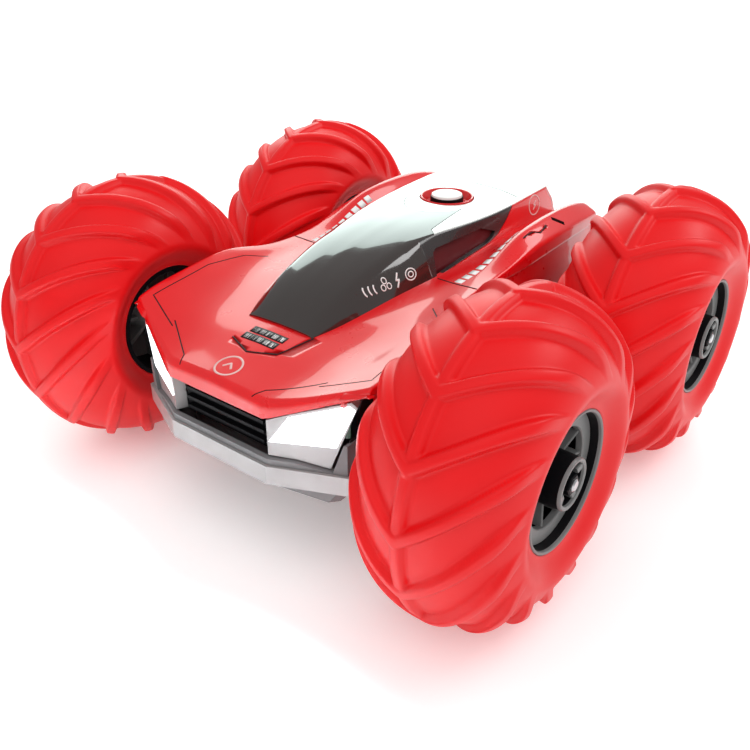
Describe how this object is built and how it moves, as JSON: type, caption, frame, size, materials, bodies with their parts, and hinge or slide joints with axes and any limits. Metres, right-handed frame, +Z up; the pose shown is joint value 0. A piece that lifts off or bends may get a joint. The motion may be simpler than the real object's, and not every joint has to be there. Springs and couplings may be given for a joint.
{
  "type": "rc stunt car",
  "caption": "Low radio-controlled stunt car with balloon tyres, skid-steer gear trains, glazed canopy, headlights and a top power button.",
  "frame": {"origin": "on the floor under the middle of the car, between the four tyre contact points", "axes": "+Z up, -Y towards the front of the car, +X towards the car's left side"},
  "size_m": [0.2248, 0.22, 0.106],
  "materials": {
    "body_red": "gloss moulded ABS",
    "tyre_red": "soft vinyl, satin",
    "smoked_window": "smoked gloss",
    "roof_silver": "pale silver gloss",
    "black_trim": "fine satin",
    "silver_trim": "silver-grey satin",
    "rim_grey": "dark grey satin",
    "maroon_trim": "dark maroon satin",
    "lamp_white": "frosted lens",
    "button_white": "gloss cap",
    "belly_grey": "satin grey",
    "steel": "turned steel",
    "brass": "turned brass",
    "motor_can": "drawn can",
    "nylon": "natural nylon",
    "gearbox_black": "moulded",
    "board_green": "solder mask",
    "cell_wrap": "shrink wrap",
    "seal_rubber": "soft black",
    "cable_black": "wire insulation"
  },
  "bodies": {
    "chassis": {"upper_shell": "body_red", "lower_shell": "belly_grey", "front_bumper": "silver_trim", "front_grille": "black_trim", "headlight_lens_left": "lamp_white", "side_intake_left": "maroon_trim", "gearbox_housing_left": "gearbox_black", "motor_left": "motor_can", "headlight_lens_right": "lamp_white", "side_intake_right": "maroon_trim", "gearbox_housing_right": "gearbox_black", "motor_right": "motor_can", "headlight_bezels": "silver_trim", "headlight_leds": "board_green", "canopy": "smoked_window", "roof_deck": "roof_silver", "tail_panel": "black_trim", "power_bezel": "body_red", "button_seal": "seal_rubber", "power_switch": "black_trim", "main_board": "board_green", "antenna": "cable_black", "battery_pack": "cell_wrap", "battery_door": "belly_grey", "battery_door_screw": "steel", "hull_gasket": "seal_rubber", "shell_screws": "steel", "gearbox_covers": "gearbox_black", "gear_pins": "steel", "axle_bushings": "brass", "axle_seals": "seal_rubber"},
    "front_wheel_left": {"front_tyre_left": "tyre_red", "front_rim_left": "rim_grey", "front_hub_cap_left": "black_trim", "front_axle_left": "steel", "front_axle_gear_left": "nylon"},
    "front_idler_left": {"front_idler_gear_left": "nylon"},
    "rear_wheel_left": {"rear_tyre_left": "tyre_red", "rear_rim_left": "rim_grey", "rear_hub_cap_left": "black_trim", "rear_axle_left": "steel", "rear_axle_gear_left": "nylon"},
    "rear_idler_left": {"rear_idler_gear_left": "nylon"},
    "middle_gear_left": {"middle_gear_left": "nylon"},
    "pinion_left": {"motor_pinion_left": "brass"},
    "front_wheel_right": {"front_tyre_right": "tyre_red", "front_rim_right": "rim_grey", "front_hub_cap_right": "black_trim", "front_axle_right": "steel", "front_axle_gear_right": "nylon"},
    "front_idler_right": {"front_idler_gear_right": "nylon"},
    "rear_wheel_right": {"rear_tyre_right": "tyre_red", "rear_rim_right": "rim_grey", "rear_hub_cap_right": "black_trim", "rear_axle_right": "steel", "rear_axle_gear_right": "nylon"},
    "rear_idler_right": {"rear_idler_gear_right": "nylon"},
    "middle_gear_right": {"middle_gear_right": "nylon"},
    "pinion_right": {"motor_pinion_right": "brass"},
    "power_button": {"power_button": "button_white"}
  },
  "joints": [
    {"name": "front_wheel_spin_left", "type": "hinge", "parent": "chassis", "child": "front_wheel_left", "pos_m": [0.08446, -0.057, 0.053], "axis": [1, 0, 0], "continuous": true},
    {"name": "rear_wheel_spin_left", "type": "hinge", "parent": "chassis", "child": "rear_wheel_left", "pos_m": [0.08446, 0.057, 0.053], "axis": [1, 0, 0], "continuous": true},
    {"name": "front_idler_spin_left", "type": "hinge", "parent": "chassis", "child": "front_idler_left", "pos_m": [0.038, -0.03, 0.053], "axis": [1, 0, 0], "continuous": true},
    {"name": "middle_gear_spin_left", "type": "hinge", "parent": "chassis", "child": "middle_gear_left", "pos_m": [0.038, 0, 0.053], "axis": [1, 0, 0], "continuous": true},
    {"name": "rear_idler_spin_left", "type": "hinge", "parent": "chassis", "child": "rear_idler_left", "pos_m": [0.038, 0.03, 0.053], "axis": [1, 0, 0], "continuous": true},
    {"name": "pinion_spin_left", "type": "hinge", "parent": "chassis", "child": "pinion_left", "pos_m": [0.03275, 0.0192, 0.0674], "axis": [1, 0, 0], "continuous": true},
    {"name": "front_wheel_spin_right", "type": "hinge", "parent": "chassis", "child": "front_wheel_right", "pos_m": [-0.08446, -0.057, 0.053], "axis": [1, 0, 0], "continuous": true},
    {"name": "rear_wheel_spin_right", "type": "hinge", "parent": "chassis", "child": "rear_wheel_right", "pos_m": [-0.08446, 0.057, 0.053], "axis": [1, 0, 0], "continuous": true},
    {"name": "front_idler_spin_right", "type": "hinge", "parent": "chassis", "child": "front_idler_right", "pos_m": [-0.038, -0.03, 0.053], "axis": [1, 0, 0], "continuous": true},
    {"name": "middle_gear_spin_right", "type": "hinge", "parent": "chassis", "child": "middle_gear_right", "pos_m": [-0.038, 0, 0.053], "axis": [1, 0, 0], "continuous": true},
    {"name": "rear_idler_spin_right", "type": "hinge", "parent": "chassis", "child": "rear_idler_right", "pos_m": [-0.038, 0.03, 0.053], "axis": [1, 0, 0], "continuous": true},
    {"name": "pinion_spin_right", "type": "hinge", "parent": "chassis", "child": "pinion_right", "pos_m": [-0.03275, 0.0192, 0.0674], "axis": [1, 0, 0], "continuous": true},
    {"name": "power_button_press", "type": "slide", "parent": "chassis", "child": "power_button", "axis": [0, 0, -1], "range_m": [0, 0.0015], "stiffness_N_per_m": 400, "springref_m": -0.001}
  ],
  "couplings": [
    {"joint": "rear_wheel_spin_left", "follows": "front_wheel_spin_left", "ratio": 1},
    {"joint": "front_idler_spin_left", "follows": "front_wheel_spin_left", "ratio": -0.8},
    {"joint": "middle_gear_spin_left", "follows": "front_wheel_spin_left", "ratio": 0.8},
    {"joint": "rear_idler_spin_left", "follows": "front_wheel_spin_left", "ratio": -0.8},
    {"joint": "pinion_spin_left", "follows": "front_wheel_spin_left", "ratio": -2.6286},
    {"joint": "rear_wheel_spin_right", "follows": "front_wheel_spin_right", "ratio": 1},
    {"joint": "front_idler_spin_right", "follows": "front_wheel_spin_right", "ratio": -0.8},
    {"joint": "middle_gear_spin_right", "follows": "front_wheel_spin_right", "ratio": 0.8},
    {"joint": "rear_idler_spin_right", "follows": "front_wheel_spin_right", "ratio": -0.8},
    {"joint": "pinion_spin_right", "follows": "front_wheel_spin_right", "ratio": -2.6286}
  ]
}
